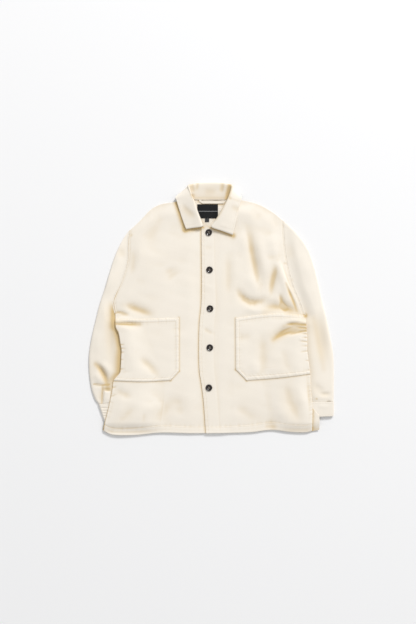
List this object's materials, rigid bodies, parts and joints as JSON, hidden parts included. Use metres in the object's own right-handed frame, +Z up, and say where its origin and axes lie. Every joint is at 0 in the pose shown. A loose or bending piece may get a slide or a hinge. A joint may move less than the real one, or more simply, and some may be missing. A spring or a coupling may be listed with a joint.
{
  "type": "chore jacket, buttoned and laid flat",
  "caption": "Buttoned cream cotton chore jacket with a fold-over collar and patch pockets, lying flat on its back.",
  "frame": {"origin": "middle of the jacket's outline, on the surface that it lies on", "axes": "+Z up from the surface, +Y from hem to collar, +X towards the wearer's left"},
  "size_m": [0.7332, 0.7576, 0.0214],
  "materials": {
    "canvas": "matte",
    "label": "satin",
    "button": "gloss"
  },
  "bodies": {
    "root": {"back_panel": "canvas", "front_right": "canvas", "front_left": "canvas", "pocket_right": "canvas", "pocket_left": "canvas", "sleeve_right": "canvas", "sleeve_left": "canvas", "cuff_right": "canvas", "cuff_left": "canvas", "collar": "canvas", "hanger_loop": "canvas", "neck_label": "label", "size_tab": "label", "button_1": "button", "button_2": "button", "button_3": "button", "button_4": "button", "button_5": "button"}
  },
  "joints": []
}
